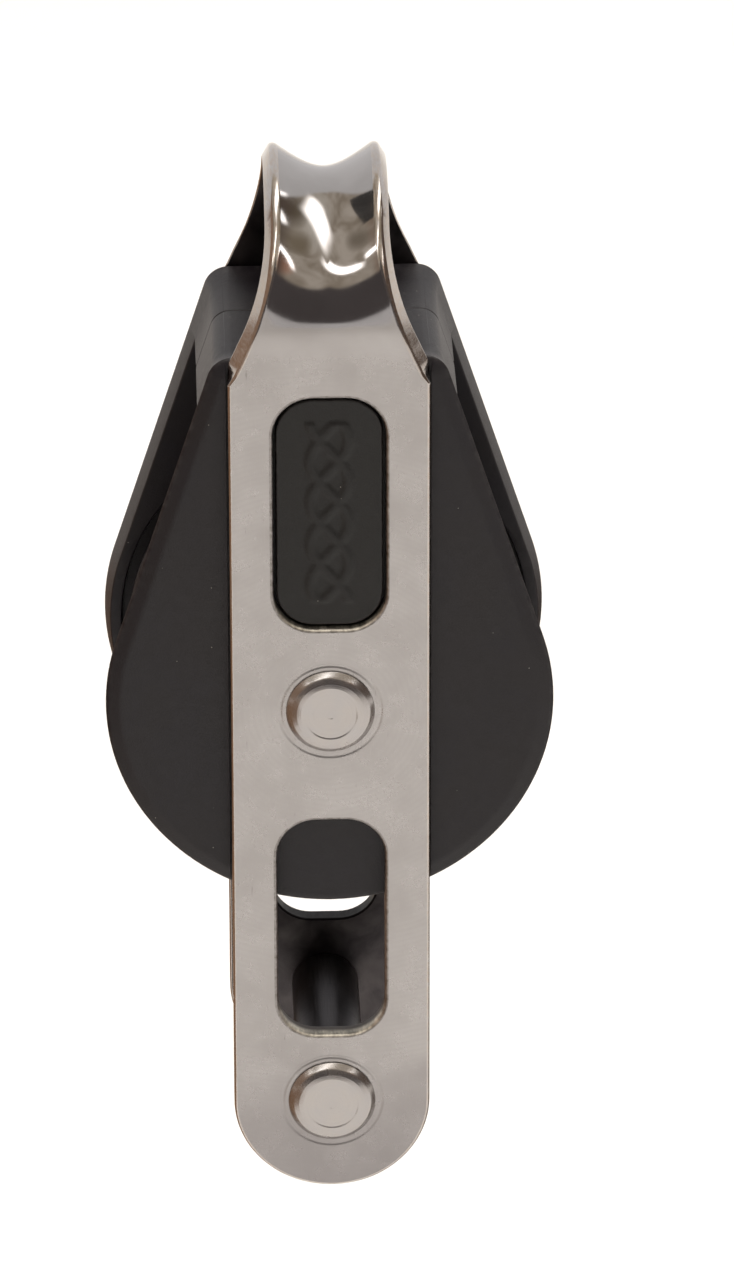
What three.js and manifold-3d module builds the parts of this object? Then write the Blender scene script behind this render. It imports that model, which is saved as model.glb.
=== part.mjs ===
// Single sheave block for rope of 10 to 12 mm, with a riveted head strap and a becket.
// Millimetres. +Z is up, towards the head, +X is to the right and +Y is to the rear.
// The origin is the centre of the sheave, on the axle, which lies along Y.
import * as THREE from 'three';
import { mergeVertices } from 'three/addons/utils/BufferGeometryUtils.js';
import Module from 'manifold-3d';

const wasm = await Module();
wasm.setup();

// Small clearances.
const SEAT_GAP = 0.02;               // faces that rest on each other
const RIVET_FIT = 0.1;               // radial, rivets in tubes and holes
const SOCKET_FIT = 0.15;             // radial, locating pegs in their sockets
const RACE_FIT = 0.06;               // balls in the hub's grooves
const RUNNING_FIT = 0.12;            // balls in the sheave's races

// Head strap: one flat bar, cut out, bent over at the head and riveted at both ends.
const STRAP_WIDTH = 20;
const STRAP_THICK = 2;
const STRAP_OUTER = 13.8;            // half the width over the strap's two legs
const STRAP_INNER = STRAP_OUTER - STRAP_THICK;
const BEND_Z = 39.4;                 // height of the bend's axis
const HORN_RADIUS = 15.55;           // bend's outer radius at the rolled edges
const VALLEY_RADIUS = 12.95;         // bend's outer radius in the middle of the saddle
const NECK_HALF = 5.2;               // half width of the neck's outer face
const SADDLE_ROUND = 2.6;            // how far from the middle the saddle's walls start to rise
const EDGE_BEVEL = 1.0;              // how much wider the neck is on its inner face
const FLARE_START = -11.3;           // degrees round the bend where the neck starts to narrow
const FLARE_SPAN = 64.7;             // degrees over which it narrows
const FLARE_POWER = 1.9;
const FLARE_STEP = 0.7;              // how far the flare's lower end stands in from the leg's side
const FLARE_RUN = 4;                 // degrees over which that step runs out
const CURL_START = 10;               // degrees round the bend where the edges start to roll
const CURL_END = 65;
const STRAP_JOIN_Z = 34.9;           // the plain legs end here

// Windows in each leg.
const WINDOW_ROUND = 4;
const UPPER_WINDOW = { half: 5.6, low: 9.0, high: 34.2 };
const LOWER_WINDOW = { half: 5.45, low: -36.9, high: -12.35 };

// Rivets and their spacer tubes: the axle at the origin and the becket below it.
const BECKET_Z = -44.5;
const RIVET_RADIUS = 2.5;
const RIVET_HEAD_RADIUS = 4.45;
const RIVET_FLAT_RADIUS = 2.95;
const RIVET_HEAD_HEIGHT = 1.0;
const RIVET_RIM = 0.15;              // height of the head's upright edge
const RIVET_DOME = [                 // the head's dome between its flat and its edge
  { radius: 3.4, drop: 0.13 },
  { radius: 3.95, drop: 0.45 },
];
const TUBE_RADIUS = 3.5;

// Cheeks: two moulded halves that meet in a bridge over the sheave.
const CHEEK_RADIUS = 22.5;
const CHEEK_TOP = 37.8;
const CHEEK_TAPER = 18.1;            // degrees, each flank against the vertical
const CHEEK_CORNER = 2.6;
const CHEEK_OUTER = 12.1;            // outer faces, from the middle plane
const CHEEK_INNER = 8.4;             // rims' inner faces, from the middle plane
const CHEEK_BEVEL = { wide: 1.5, deep: 0.5 };
const RIM_DRAFT = 0.5;
const POCKET_RADIUS = 20.7;
const POCKET_FLOOR = 9.7;
const BOSS_RADIUS = 8.4;
const BOSS_FACE = 8.9;
const CHANNEL_FLOOR = 11.75;         // seat for the strap
const CHANNEL_HALF = 10.15;
const PAD_GAP = 0.25;                // round the pad that fills the upper window
const PAD_FACE = 13.2;               // the pad's outer face, from the middle plane
const BRIDGE_LOW = 31.2;
const PARTING_Y = 1.4;               // the two halves meet this far behind the middle plane
const PARTING_GAP = 0.02;
const PEG = { radius: 1.5, length: 2.5, x: 7, z: 34.5 };
const SOCKET_EXTRA = 0.3;            // depth of a socket past its peg's end

// Sheave and its two rows of balls.
const SHEAVE_RADIUS = 20;
const SHEAVE_HALF = 7.7;
const GROOVE_BOTTOM = 14.8;
const GROOVE_HALF = 6.4;
const SHEAVE_BORE = 10.3;
const BORE_MOUTH = { wide: 0.5, y: 7.2 };
const WEB = { low: 12.2, high: 17.6, slope: 0.6, deep: 0.7 };
const RIM_CHAMFER = { wide: 0.6, deep: 0.5 };
const BALL_RADIUS = 2.38;
const BALLS_PER_ROW = 11;
const PITCH_RADIUS = 8.6;
const ROW_Y = 3.5;
const RACE_INNER_LIP = 6.9;
const RACE_OUTER_LIP = 7.4;

const AROUND = 32;                   // facets round a turned piece
const RIVET_AROUND = 28;
const PEG_AROUND = 20;
const LEAP = 1;                      // how far a cutting or joining solid runs past the face it meets
const radians = THREE.MathUtils.degToRad;

const stainless = (hex, roughness) =>
  new THREE.MeshStandardMaterial({ color: hex, metalness: 1, roughness });
const plastic = (hex, roughness) =>
  new THREE.MeshStandardMaterial({ color: hex, metalness: 0, roughness });

// ---------------------------------------------------------------- solids

function merged(geometry) {
  geometry.deleteAttribute('normal');
  geometry.deleteAttribute('uv');
  return mergeVertices(geometry, 1e-5);
}

function toSolid(geometry) {
  const g = merged(geometry);
  const vertProperties = new Float32Array(g.attributes.position.array);
  const triVerts = new Uint32Array(g.index.array);
  return new wasm.Manifold(new wasm.Mesh({ numProp: 3, vertProperties, triVerts }));
}

function toGeometry(solid) {
  const mesh = solid.getMesh();
  const geometry = new THREE.BufferGeometry();
  geometry.setAttribute('position', new THREE.BufferAttribute(mesh.vertProperties, 3));
  geometry.setIndex(new THREE.BufferAttribute(mesh.triVerts, 1));
  return geometry;
}

// Straight prism of a shape drawn in X and Z, from yLow to yHigh.
function prism(shape, yLow, yHigh, curveSegments = 10) {
  const geometry = new THREE.ExtrudeGeometry(shape, {
    depth: yHigh - yLow,
    bevelEnabled: false,
    curveSegments,
  });
  geometry.rotateX(Math.PI / 2);
  return geometry.translate(0, yHigh, 0);
}

// Cylinder along Y.
function rod(radius, yLow, yHigh, x = 0, z = 0, facets = AROUND) {
  const geometry = new THREE.CylinderGeometry(radius, radius, yHigh - yLow, facets);
  return geometry.translate(x, (yLow + yHigh) / 2, z);
}

function block(x, y, z) {
  const geometry = new THREE.BoxGeometry(x[1] - x[0], y[1] - y[0], z[1] - z[0]);
  return geometry.translate((x[0] + x[1]) / 2, (y[0] + y[1]) / 2, (z[0] + z[1]) / 2);
}

// Turned piece about Y from [radius, y] pairs. A ring's profile closes on itself.
function turned(profile, facets = AROUND) {
  const points = profile.map(([r, y]) => new THREE.Vector2(r, y));
  const onAxis = profile[0][0] === 0 && profile[profile.length - 1][0] === 0;
  if (!onAxis) {
    points.push(points[0].clone());
  }
  return new THREE.LatheGeometry(points, facets);
}

// Closed skin over loops of equal length. Seen from the first loop's outer side, loops run
// anticlockwise, and flat() gives a loop's points in two dimensions for its end cap.
function skin(loops, flat) {
  const count = loops[0].length;
  const positions = loops.flat().flatMap((p) => [p.x, p.y, p.z]);
  const index = [];
  for (let k = 0; k + 1 < loops.length; k += 1) {
    for (let i = 0; i < count; i += 1) {
      const j = (i + 1) % count;
      const a = k * count;
      const b = a + count;
      index.push(a + i, b + i, b + j, a + i, b + j, a + j);
    }
  }
  const last = (loops.length - 1) * count;
  for (const [a, b, c] of THREE.ShapeUtils.triangulateShape(loops[0].map(flat), [])) {
    index.push(a, b, c);
  }
  for (const [a, b, c] of THREE.ShapeUtils.triangulateShape(loops.at(-1).map(flat), [])) {
    index.push(last + a, last + c, last + b);
  }
  const geometry = new THREE.BufferGeometry();
  geometry.setAttribute('position', new THREE.Float32BufferAttribute(positions, 3));
  geometry.setIndex(index);
  return geometry;
}

// ---------------------------------------------------------------- head strap

function roundedWindow({ half, low, high }, gap = 0) {
  const w = half - gap;
  const r = WINDOW_ROUND - gap;
  const x = w - r;
  const top = high - gap - r;
  const bottom = low + gap + r;
  const path = new THREE.Shape();
  path.absarc(x, top, r, 0, Math.PI / 2, false);
  path.absarc(-x, top, r, Math.PI / 2, Math.PI, false);
  path.absarc(-x, bottom, r, Math.PI, 1.5 * Math.PI, false);
  path.absarc(x, bottom, r, 1.5 * Math.PI, 2 * Math.PI, false);
  return path;
}

function strapLeg(yLow, yHigh) {
  const half = STRAP_WIDTH / 2;
  const shape = new THREE.Shape();
  shape.moveTo(half, STRAP_JOIN_Z);
  shape.lineTo(-half, STRAP_JOIN_Z);
  shape.absarc(0, BECKET_Z, half, Math.PI, 1.5 * Math.PI, false);
  shape.absarc(0, BECKET_Z, half, 1.5 * Math.PI, 2 * Math.PI, false);
  shape.holes.push(roundedWindow(UPPER_WINDOW), roundedWindow(LOWER_WINDOW));
  const leg = toSolid(prism(shape, yLow, yHigh, 8));
  const holes = [0, BECKET_Z].map((z) =>
    toSolid(rod(RIVET_RADIUS + RIVET_FIT, yLow - LEAP, yHigh + LEAP, 0, z, RIVET_AROUND)));
  return leg.subtract(holes[0]).subtract(holes[1]);
}

// The head's cross section at an angle round the bend: 0 is the top of the front leg, 90 the
// crown and 180 the top of the rear leg. Its middle sinks to the valley as its edges roll out.
function headLoop(angle) {
  const fromLeg = Math.min(angle, 180 - angle);
  const along = THREE.MathUtils.clamp((fromLeg - FLARE_START) / FLARE_SPAN, 0, 1);
  const flareHalf = STRAP_WIDTH / 2 - FLARE_STEP - NECK_HALF;
  const runOut = THREE.MathUtils.clamp((FLARE_START - fromLeg) / FLARE_RUN, 0, 1);
  const outerHalf = NECK_HALF + flareHalf * (1 - along) ** FLARE_POWER + FLARE_STEP * runOut;
  const innerHalf = Math.min(STRAP_WIDTH / 2, outerHalf + EDGE_BEVEL);
  const curl = THREE.MathUtils.smoothstep(fromLeg, CURL_START, CURL_END);
  const rise = (x) => Math.hypot(SADDLE_ROUND, x) - SADDLE_ROUND;
  const scale = (curl * (HORN_RADIUS - VALLEY_RADIUS)) / rise(NECK_HALF);
  const floor = STRAP_OUTER - curl * (STRAP_OUTER - VALLEY_RADIUS);
  const columns = 10;
  const outer = [];
  const inner = [];
  for (let i = 0; i <= columns; i += 1) {
    const x = outerHalf * (2 * i / columns - 1);
    const tilt = Math.atan((scale * x) / Math.hypot(SADDLE_ROUND, x));
    const radius = floor + scale * rise(x);
    outer.push([x, radius]);
    inner.push([x + STRAP_THICK * Math.sin(tilt), radius - STRAP_THICK * Math.cos(tilt)]);
  }
  const spread = innerHalf / inner[columns][0];
  const loop = [...inner.map(([x, r]) => [x * spread, r]), ...outer.reverse()];
  return loop.map(([x, r]) => onBend(x, r, angle));
}

function onBend(x, radius, angle) {
  if (angle < 0) {
    return new THREE.Vector3(x, -radius, BEND_Z + STRAP_OUTER * radians(angle));
  }
  if (angle > 180) {
    return new THREE.Vector3(x, radius, BEND_Z - STRAP_OUTER * radians(angle - 180));
  }
  const a = radians(angle);
  return new THREE.Vector3(x, -radius * Math.cos(a), BEND_Z + radius * Math.sin(a));
}

function headStrap() {
  const start = THREE.MathUtils.radToDeg((STRAP_JOIN_Z - 0.5 - BEND_Z) / STRAP_OUTER);
  const angles = [start, FLARE_START - FLARE_RUN];
  for (let i = 0; i < 4; i += 1) {
    angles.push((FLARE_START * (4 - i)) / 4);
  }
  for (let angle = 0; angle < 90; angle += 6) {
    angles.push(angle);
  }
  const back = angles.map((angle) => 180 - angle).reverse();
  const loops = [...angles, 90, ...back].map(headLoop);
  const head = toSolid(skin(loops, (p) => new THREE.Vector2(p.x, Math.abs(p.y))));
  const front = strapLeg(-STRAP_OUTER, -STRAP_INNER);
  const rear = strapLeg(STRAP_INNER, STRAP_OUTER);
  return toGeometry(head.add(front).add(rear));
}

// ---------------------------------------------------------------- cheeks

// Teardrop about the axle: a round lower end, two straight flanks and a short flat top.
function teardrop(inset, low = null) {
  const r = CHEEK_RADIUS - inset;
  const corner = CHEEK_CORNER - inset;
  const a = radians(CHEEK_TAPER);
  const cornerZ = CHEEK_TOP - inset - corner;
  const cornerX = (r - corner - cornerZ * Math.sin(a)) / Math.cos(a);
  const shape = new THREE.Shape();
  shape.absarc(cornerX, cornerZ, corner, a, Math.PI / 2, false);
  shape.absarc(-cornerX, cornerZ, corner, Math.PI / 2, Math.PI - a, false);
  if (low === null) {
    for (const [from, to] of [[Math.PI - a, Math.PI], [Math.PI, 1.5 * Math.PI],
      [1.5 * Math.PI, 2 * Math.PI], [0, a]]) {
      shape.absarc(0, 0, r, from, to, false);
    }
  } else {
    const flank = (r - low * Math.sin(a)) / Math.cos(a);
    shape.lineTo(-flank, low);
    shape.lineTo(flank, low);
  }
  return shape;
}

function cheekShell() {
  const sections = [
    [-CHEEK_OUTER, CHEEK_BEVEL.wide],
    [-CHEEK_OUTER + CHEEK_BEVEL.deep, 0],
    [-CHEEK_INNER, RIM_DRAFT],
  ];
  const loops = sections.map(([y, inset]) => {
    const outline = teardrop(inset).extractPoints(8).shape;
    if (outline[0].distanceTo(outline.at(-1)) < 1e-6) {
      outline.pop();
    }
    return outline.map((p) => new THREE.Vector3(p.x, y, p.y));
  });
  return toSolid(skin(loops, (p) => new THREE.Vector2(p.x, p.z)));
}

// A half seen from the front: a dished plate, its share of the bridge as far as bridgeEnd, and the
// strap's channel round a pad.
function cheekHalf(bridgeEnd) {
  const bridge = prism(teardrop(RIM_DRAFT, BRIDGE_LOW), -CHEEK_INNER - LEAP, bridgeEnd, 8);
  const pocket = turned([
    [0, -BOSS_FACE],
    [BOSS_RADIUS, -BOSS_FACE],
    [BOSS_RADIUS, -POCKET_FLOOR],
    [POCKET_RADIUS, -POCKET_FLOOR],
    [POCKET_RADIUS, -CHEEK_INNER + LEAP],
    [0, -CHEEK_INNER + LEAP],
  ]);
  const channel = block([-CHANNEL_HALF, CHANNEL_HALF], [-CHEEK_OUTER - LEAP, -CHANNEL_FLOOR],
    [-CHEEK_RADIUS - LEAP, CHEEK_TOP + LEAP]);
  const pad = prism(roundedWindow(UPPER_WINDOW, PAD_GAP), -PAD_FACE, -CHANNEL_FLOOR + LEAP, 6);
  return cheekShell()
    .add(toSolid(bridge))
    .subtract(toSolid(pocket))
    .subtract(toSolid(channel))
    .add(toSolid(pad))
    .subtract(toSolid(rod(TUBE_RADIUS + RIVET_FIT, -CHEEK_OUTER - LEAP, -CHEEK_INNER + LEAP)));
}

function frontCheek() {
  let cheek = cheekHalf(PARTING_Y - PARTING_GAP / 2);
  const yLow = PARTING_Y - PARTING_GAP / 2 - LEAP;
  for (const side of [-1, 1]) {
    const peg = rod(PEG.radius, yLow, PARTING_Y + PEG.length, side * PEG.x, PEG.z, PEG_AROUND);
    cheek = cheek.add(toSolid(peg));
  }
  return toGeometry(cheek);
}

function rearCheek() {
  let cheek = cheekHalf(-PARTING_Y - PARTING_GAP / 2).rotate([0, 0, 180]);
  const yHigh = PARTING_Y + PEG.length + SOCKET_EXTRA;
  for (const side of [-1, 1]) {
    const radius = PEG.radius + SOCKET_FIT;
    const socket = rod(radius, PARTING_Y - LEAP, yHigh, side * PEG.x, PEG.z, PEG_AROUND);
    cheek = cheek.subtract(toSolid(socket));
  }
  return toGeometry(cheek);
}

// ---------------------------------------------------------------- rivets and tubes

function rivet(z) {
  const top = STRAP_OUTER + SEAT_GAP;
  const crown = STRAP_OUTER + RIVET_HEAD_HEIGHT;
  const half = [
    [RIVET_RADIUS, top],
    [RIVET_HEAD_RADIUS, top],
    [RIVET_HEAD_RADIUS, top + RIVET_RIM],
    ...RIVET_DOME.toReversed().map(({ radius, drop }) => [radius, crown - drop]),
    [RIVET_FLAT_RADIUS, crown],
    [0, crown],
  ];
  const mirrored = half.map(([r, y]) => [r, -y]).reverse();
  return turned([...mirrored, ...half], RIVET_AROUND).translate(0, 0, z);
}

function spacerTube(z) {
  const y = STRAP_INNER - SEAT_GAP;
  const bore = RIVET_RADIUS + RIVET_FIT;
  return turned([[bore, -y], [TUBE_RADIUS, -y], [TUBE_RADIUS, y], [bore, y]]).translate(0, 0, z);
}

// ---------------------------------------------------------------- bearing and sheave

// Points of a circular arc between two heights, on the side of its centre given by sign.
function arc(centreR, centreY, radius, sign, yFrom, yTo, steps) {
  const points = [];
  for (let i = 0; i <= steps; i += 1) {
    const from = Math.asin((yFrom - centreY) / radius);
    const to = Math.asin((yTo - centreY) / radius);
    const a = from + ((to - from) * i) / steps;
    points.push([centreR + sign * radius * Math.cos(a), centreY + radius * Math.sin(a)]);
  }
  return points;
}

// Half of the hub that the balls run on. The two halves meet on the middle plane.
function innerRace(side) {
  const groove = BALL_RADIUS + RACE_FIT;
  const y = (lip) => Math.sqrt(groove ** 2 - (PITCH_RADIUS - lip) ** 2);
  const bore = TUBE_RADIUS + RIVET_FIT;
  const end = BOSS_FACE - SEAT_GAP;
  const profile = [
    [bore, SEAT_GAP],
    [RACE_INNER_LIP, SEAT_GAP],
    ...arc(PITCH_RADIUS, ROW_Y, groove, -1, ROW_Y - y(RACE_INNER_LIP), ROW_Y + y(RACE_OUTER_LIP), 6),
    [RACE_OUTER_LIP, end],
    [bore, end],
  ];
  const placed = side > 0 ? profile : profile.map(([r, h]) => [r, -h]).reverse();
  return turned(placed);
}

function sheave() {
  const race = BALL_RADIUS + RUNNING_FIT;
  const reach = Math.sqrt(race ** 2 - (SHEAVE_BORE - PITCH_RADIUS) ** 2);
  const depth = SHEAVE_RADIUS - GROOVE_BOTTOM;
  const grooveRadius = (GROOVE_HALF ** 2 + depth ** 2) / (2 * depth);
  const races = [-ROW_Y, ROW_Y].flatMap((y) =>
    arc(PITCH_RADIUS, y, race, 1, y - reach, y + reach, 6));
  const side = [
    [SHEAVE_BORE, BORE_MOUTH.y],
    [SHEAVE_BORE + BORE_MOUTH.wide, SHEAVE_HALF],
    [WEB.low, SHEAVE_HALF],
    [WEB.low + WEB.slope, SHEAVE_HALF - WEB.deep],
    [WEB.high - WEB.slope, SHEAVE_HALF - WEB.deep],
    [WEB.high, SHEAVE_HALF],
    [SHEAVE_RADIUS - RIM_CHAMFER.wide, SHEAVE_HALF],
    [SHEAVE_RADIUS, SHEAVE_HALF - RIM_CHAMFER.deep],
  ];
  const groove = arc(GROOVE_BOTTOM + grooveRadius, 0, grooveRadius, -1, -GROOVE_HALF, GROOVE_HALF, 12);
  const profile = [
    ...groove,
    ...side.slice().reverse(),
    ...races.slice().reverse(),
    ...side.map(([r, y]) => [r, -y]),
  ];
  return turned(profile);
}

function ball(row, place) {
  const angle = (2 * Math.PI * (place + (row > 0 ? 0 : 0.5))) / BALLS_PER_ROW;
  const geometry = new THREE.IcosahedronGeometry(BALL_RADIUS, 1);
  return geometry.translate(PITCH_RADIUS * Math.cos(angle), row * ROW_Y, PITCH_RADIUS * Math.sin(angle));
}

// ---------------------------------------------------------------- assembly

const group = new THREE.Group();

function place(name, geometry, material) {
  const mesh = new THREE.Mesh(merged(geometry), material);
  mesh.name = name;
  group.add(mesh);
}

place('head_strap', headStrap(), stainless(0xb0aaa6, 0.28));
place('front_cheek', frontCheek(), plastic(0x343234, 0.55));
place('rear_cheek', rearCheek(), plastic(0x343234, 0.55));
place('axle_rivet', rivet(0), stainless(0xc2bcb8, 0.22));
place('axle_tube', spacerTube(0), stainless(0xa8a4a2, 0.3));
place('becket_rivet', rivet(BECKET_Z), stainless(0xc2bcb8, 0.22));
place('becket_tube', spacerTube(BECKET_Z), stainless(0xa8a4a2, 0.3));
place('front_inner_race', innerRace(-1), plastic(0x2b2b2d, 0.4));
place('rear_inner_race', innerRace(1), plastic(0x2b2b2d, 0.4));
place('sheave', sheave(), plastic(0x29282a, 0.45));
for (const [label, row] of [['front', -1], ['rear', 1]]) {
  for (let i = 0; i < BALLS_PER_ROW; i += 1) {
    const number = String(i + 1).padStart(2, '0');
    place(`${label}_ball_${number}`, ball(row, i), plastic(0xe6e2d8, 0.25));
  }
}

export default group;
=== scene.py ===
"""Single sheave block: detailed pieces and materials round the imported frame.

Shapes are worked out in millimetres and written to the meshes in metres. +Z is towards the head,
+Y to the rear, +X to the right, and the origin is the centre of the sheave, as in the frame.
"""

import math

import bmesh
import bpy
from mathutils import Matrix, Vector
from mathutils.geometry import delaunay_2d_cdt


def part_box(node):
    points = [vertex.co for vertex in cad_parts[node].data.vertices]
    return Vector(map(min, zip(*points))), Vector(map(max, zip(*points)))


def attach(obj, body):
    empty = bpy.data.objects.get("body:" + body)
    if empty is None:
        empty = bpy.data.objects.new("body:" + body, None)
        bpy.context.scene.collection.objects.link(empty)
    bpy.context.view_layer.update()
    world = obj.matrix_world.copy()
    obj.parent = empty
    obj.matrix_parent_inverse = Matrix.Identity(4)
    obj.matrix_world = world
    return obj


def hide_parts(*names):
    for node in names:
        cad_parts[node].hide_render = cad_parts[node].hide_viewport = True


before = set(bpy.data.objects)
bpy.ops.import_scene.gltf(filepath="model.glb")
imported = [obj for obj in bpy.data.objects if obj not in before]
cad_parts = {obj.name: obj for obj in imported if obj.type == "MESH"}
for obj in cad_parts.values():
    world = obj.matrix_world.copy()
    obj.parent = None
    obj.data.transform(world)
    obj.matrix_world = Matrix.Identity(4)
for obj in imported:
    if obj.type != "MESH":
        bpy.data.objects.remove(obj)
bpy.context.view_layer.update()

MM = 0.001
DEG = math.pi / 180


def box_mm(node):
    """A CAD node's lowest and highest corner in millimetres."""
    low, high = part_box(node)
    return low / MM, high / MM


# ---- sizes

CHEEK_LOW, CHEEK_HIGH = box_mm("front_cheek")
BECKET_LOW, BECKET_HIGH = box_mm("becket_rivet")
RACE_LOW, RACE_HIGH = box_mm("rear_inner_race")
STRAP_HIGH = box_mm("head_strap")[1]
REAR_LOW = box_mm("rear_cheek")[0]
RIVET_HIGH = box_mm("axle_rivet")[1]
TUBE_HIGH = box_mm("axle_tube")[1]
SHEAVE_HIGH = box_mm("sheave")[1]

# Head strap. From FLARE_START degrees round the bend, over FLARE_SPAN, the bar narrows to NECK_HALF,
# with a short first step. From CURL_START to CURL_END its edges curl out to HORN_RADIUS and its middle
# sinks to VALLEY_RADIUS.
STRAP_HALF = STRAP_HIGH.x
STRAP_THICK = 2.0
STRAP_OUTER = 13.8
STRAP_INNER = STRAP_OUTER - STRAP_THICK
HORN_RADIUS = 15.55
VALLEY_RADIUS = 12.95
BEND_Z = STRAP_HIGH.z - HORN_RADIUS
NECK_HALF = 5.2
SADDLE_ROUND = 2.6
EDGE_BEVEL = 1.0
FLARE_START = -11.3
FLARE_SPAN = 64.7
FLARE_POWER = 1.9
FLARE_STEP = 0.7
FLARE_RUN = 4.0
CURL_START = 10.0
CURL_END = 65.0
JOIN_Z = 34.9
OUTER_EDGE = 0.3
NECK_EDGE = 0.6
INNER_EDGE = 0.2
WINDOW_EDGE = 0.36
POLISH_LOW = 37.5
POLISH_HIGH = 41.8

# Windows: half width, bottom and top.
WINDOW_ROUND = 4.0
UPPER_WINDOW = (5.6, 9.0, 34.2)
LOWER_WINDOW = (5.45, -36.9, -12.35)

# Rivets and tubes. A dome's shoulders are steps in from its rim and down from its crown.
BECKET_Z = (BECKET_LOW.z + BECKET_HIGH.z) / 2
RIVET_RADIUS = 2.5
RIVET_HOLE = 2.6
RIVET_HEAD = RIVET_HIGH.x
RIVET_CROWN = RIVET_HIGH.y
RIVET_FLAT = 2.95
RIVET_DISC = 2.72
RIVET_DIMPLE = 0.48
RIVET_RIM = 0.15
RIVET_SINK = 0.045
RIVET_SEAT = STRAP_OUTER + 0.02
RIVET_SHOULDERS = ((0.5, 0.36), (1.05, 0.11))
PRESS_RING = 5.06
PRESS_WIDTH = 0.32
PRESS_DEPTH = 0.07
TUBE_RADIUS = TUBE_HIGH.x
TUBE_END = TUBE_HIGH.y

# Cheeks. Each side is a relief, in which an upright step has a run of WALL. A lip is an edge's rounding.
CHEEK_RADIUS = CHEEK_HIGH.x
CHEEK_TOP = CHEEK_HIGH.z
PAD_FACE = -CHEEK_LOW.y
PAD_RISE = 1.1
CHEEK_OUTER = PAD_FACE - PAD_RISE
CHEEK_INNER = 8.4
CHEEK_TAPER = 18.1 * DEG
CHEEK_CORNER = 2.6
BEVEL_WIDE = 1.5
BEVEL_DEEP = 0.5
BEVEL_SOFT = 0.3
CHEEK_LIP = 0.3
WALL = 0.04
RIM_DRAFT = 0.5
RIM_LIP = 0.3
CHANNEL_FLOOR = 11.75
CHANNEL_HALF = 10.15
PAD_GAP = 0.25
PAD_LIP = 0.2
RELIEF_STEP = 0.2
ROPE_LAY = 13.5
ROPE_SWING = 1.9
ROPE_STRAND = 0.75
ROPE_HEIGHT = 0.16
ROPE_MARGIN = 2.6
POCKET_RADIUS = 20.7
POCKET_FLOOR = 9.7
POCKET_LIP = 0.25
BOSS_RADIUS = 8.4
BOSS_FACE = 8.9
BRIDGE_LOW = 31.2
BRIDGE_LIP = 0.35
PARTING = 0.01
PARTING_Y = REAR_LOW.y - PARTING
PARTING_LIP = 0.18
PEG_RADIUS = 1.5
PEG_LENGTH = CHEEK_HIGH.y - PARTING_Y
PEG_X = 7.0
PEG_Z = 34.5
PEG_LIP = 0.3
SOCKET_FIT = 0.15
SOCKET_EXTRA = 0.3
TUBE_FIT = 0.1

# Sheave and bearing.
SHEAVE_RADIUS = SHEAVE_HIGH.x
SHEAVE_HALF = SHEAVE_HIGH.y
GROOVE_BOTTOM = 14.8
GROOVE_HALF = 6.4
GROOVE_LIP = (1.2, 0.75)
SHEAVE_BORE = 10.3
BORE_MOUTH = (0.5, 7.2)
WEB_LOW, WEB_HIGH = 12.2, 17.6
WEB_SLOPE = 0.6
WEB_DEEP = 0.7
RIM_CHAMFER = (0.6, 0.5)
PITCH_RADIUS = 8.6
BALL_RADIUS = 2.38
ROW_Y = 3.5
RACE_GROOVE = BALL_RADIUS + 0.06
SHEAVE_GROOVE = BALL_RADIUS + 0.12
RACE_BORE = TUBE_RADIUS + TUBE_FIT
RACE_INNER_LIP = 6.9
RACE_OUTER_LIP = RACE_HIGH.x
RACE_END = RACE_HIGH.y

# Points closer than WELD metres are joined, and a rounded edge starts SLIVER inside its outline.
WELD = 1e-7
SLIVER = 5e-3

# ---- mesh helpers


class Shell:
    """Faces gathered in millimetres, with a material number each, and written to one mesh in metres."""

    def __init__(self):
        self.points = []
        self.faces = []
        self.finish = []

    def add(self, points, faces, finish=0):
        base = len(self.points)
        self.points.extend(points)
        self.faces.extend(tuple(base + i for i in face) for face in faces)
        self.finish.extend([finish] * len(faces))

    def rings(self, rings, closed=True, finish=0):
        """A skin over rings of equal length."""
        count = len(rings[0])
        faces = []
        for k in range(len(rings) - 1):
            for i in range(count if closed else count - 1):
                j = (i + 1) % count
                a, b = k * count, (k + 1) * count
                faces.append((a + i, b + i, b + j, a + j))
        self.add([p for ring in rings for p in ring], faces, finish)

    def mirror(self):
        """Adds the same shape on the other side of the middle plane."""
        self.add([(x, -y, z) for x, y, z in self.points], list(self.faces))
        half = len(self.faces) // 2
        self.finish[half:] = self.finish[:half]

    def turn(self):
        """Turns everything half way round the Z axis, from the front to the rear."""
        self.points = [(-x, -y, z) for x, y, z in self.points]

    def build(self, name, sharp=35):
        """Makes the object, smooth but for its edges over a given angle."""
        mesh = bpy.data.meshes.new(name)
        mesh.from_pydata([Vector(p) * MM for p in self.points], [], self.faces)
        mesh.polygons.foreach_set("material_index", self.finish)
        bm = bmesh.new()
        bm.from_mesh(mesh)
        bmesh.ops.remove_doubles(bm, verts=bm.verts, dist=WELD)
        bmesh.ops.delete(bm, geom=[v for v in bm.verts if not v.link_faces], context="VERTS")
        bmesh.ops.recalc_face_normals(bm, faces=bm.faces)
        bm.to_mesh(mesh)
        bm.free()
        obj = new_object(name, mesh)
        smooth(obj, sharp)
        return obj


def new_object(name, data):
    """A new object, linked to the scene."""
    obj = bpy.data.objects.new(name, data)
    bpy.context.scene.collection.objects.link(obj)
    return obj


def smooth(obj, sharp, weighted=True):
    """Smooth shading that keeps edges over a given angle and leaves flat faces flat."""
    obj.data.polygons.foreach_set("use_smooth", [True] * len(obj.data.polygons))
    obj.data.set_sharp_from_angle(angle=sharp * DEG)
    if weighted:
        modifier = obj.modifiers.new("flat faces", "WEIGHTED_NORMAL")
        modifier.mode = "FACE_AREA"
        modifier.weight = 50
        modifier.keep_sharp = True


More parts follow.
